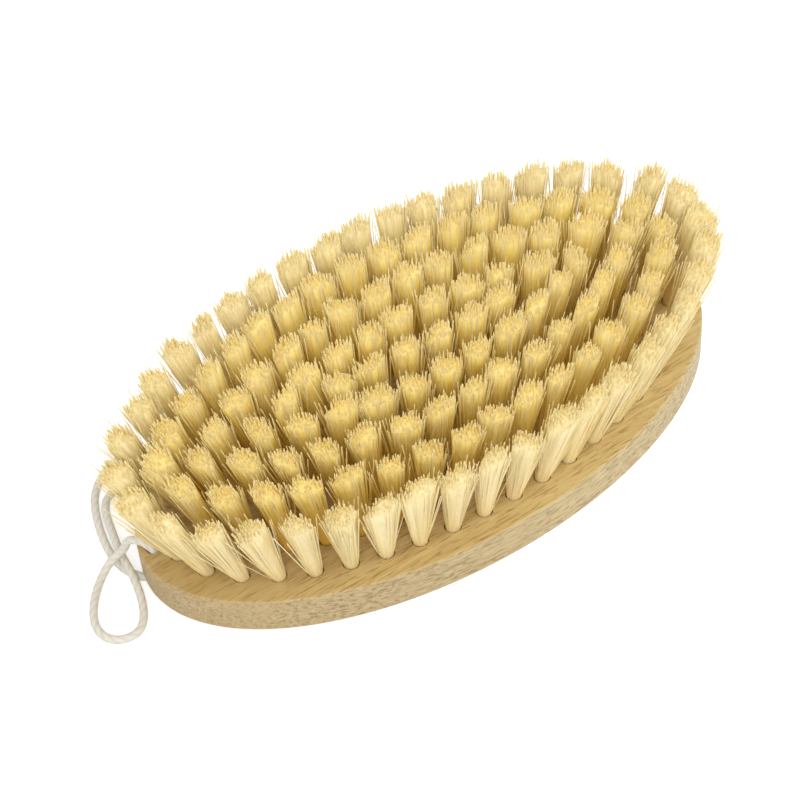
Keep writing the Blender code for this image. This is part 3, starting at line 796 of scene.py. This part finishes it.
cord_points = cord_line(CORD_POINT_SPACING)
cord = line_of("cotton_cord", cord_points)
run_tree(tree, cord, {"Diameter": CORD_DIAMETER, "Sides": CORD_SIDES, "Strands": STRAND_COUNT,
                      "Lay Length": LAY_LENGTH, "Lobe Depth": LOBE_DEPTH, "Material": cotton})
cord_path = cord_line(CORD_PATH_SPACING)
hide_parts("hanging_cord")
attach(cord, "root")

# Table: a plain white surface that the brush lies on, which keeps its soft shadow. It is just clear
# of the block's back, so that the two flat faces don't lie in one plane.
FLOOR_SIZE = 6.0
FLOOR_CLEARANCE = 0.1 * MM
FLOOR_GLOW = 0.5


def seen_directly(tree):
    """1 for what is seen straight, in a mirror or through glass, and 0 for light that only lights."""
    ray = add_node(tree, "ShaderNodeLightPath").outputs
    straight_or_mirrored = calculate(tree, "MAXIMUM", ray["Is Camera Ray"], ray["Is Glossy Ray"])
    return calculate(tree, "MAXIMUM", straight_or_mirrored, ray["Is Transmission Ray"])


floor_material, tree, shader = new_material("white_table", 0.9)[:3]
shader.inputs["Base Color"].default_value = (0.8, 0.8, 0.8, 1)
glow = add_node(tree, "ShaderNodeEmission", {
    "Strength": calculate(tree, "MULTIPLY", seen_directly(tree), FLOOR_GLOW)})
white = add_node(tree, "ShaderNodeAddShader", {0: shader.outputs[0], 1: glow.outputs[0]})
tree.links.new(white.outputs[0], tree.nodes["Material Output"].inputs["Surface"])
corner = FLOOR_SIZE / 2
floor = link_mesh("table", [(x, y, -FLOOR_CLEARANCE) for x, y in (
    (-corner, -corner), (corner, -corner), (corner, corner), (-corner, corner))], faces=[(0, 1, 2, 3)])
floor.data.materials.append(floor_material)

# Light: a white room and two wide soft lamps, one to the right and one in front of the brush, both
# half-way up. The room itself is seen as pure white.
ROOM_LIGHT = 0.8
world = bpy.data.worlds.new("white_room")
bpy.context.scene.world = world
world.use_nodes = True
backdrop = world.node_tree.nodes["Background"]
backdrop.inputs["Color"].default_value = (1, 1, 1, 1)
tree = world.node_tree
tree.links.new(calculate(tree, "MAXIMUM", seen_directly(tree), ROOM_LIGHT), backdrop.inputs["Strength"])


def add_lamp(name, place, size, power):
    """A round lamp that faces the middle of the brush."""
    lamp = bpy.data.lights.new(name, "AREA")
    lamp.shape = "DISK"
    lamp.size = size
    lamp.energy = power
    lamp_object = bpy.data.objects.new(name, lamp)
    lamp_object.location = place
    lamp_object.rotation_euler = Vector(place).to_track_quat("Z", "Y").to_euler()
    bpy.context.scene.collection.objects.link(lamp_object)


add_lamp("key_lamp", place=(0.6, -0.35, 0.6), size=0.5, power=1.4)
add_lamp("front_lamp", place=(-0.4, -0.7, 0.8), size=0.6, power=4.1)

# Camera: it looks down on the brush from the front and from the cord's end, as the photo's did. Its
# place, turn and lens were fitted to the block's outline, rim and holes in the photo.
RENDER_WIDTH = 800
FOCAL_PIXELS = 2296.5
CAMERA_PLACE = Vector((-197.68, -319.6, 433.1)) * MM
camera_data = bpy.data.cameras.new("camera")
camera_data.sensor_width = 36
camera_data.lens = FOCAL_PIXELS * camera_data.sensor_width / RENDER_WIDTH
camera_data.clip_start = 0.01
camera = bpy.data.objects.new("camera", camera_data)
right = Vector((0.8217, -0.5667, -0.0601))
up = Vector((0.4557, 0.5900, 0.6665))
back = right.cross(up).normalized()
up = back.cross(right.normalized())
turn = Matrix((right.normalized(), up, back)).transposed()
camera.matrix_world = Matrix.Translation(CAMERA_PLACE) @ turn.to_4x4()
bpy.context.scene.collection.objects.link(camera)
bpy.context.scene.camera = camera
bpy.context.scene.view_settings.view_transform = "Standard"
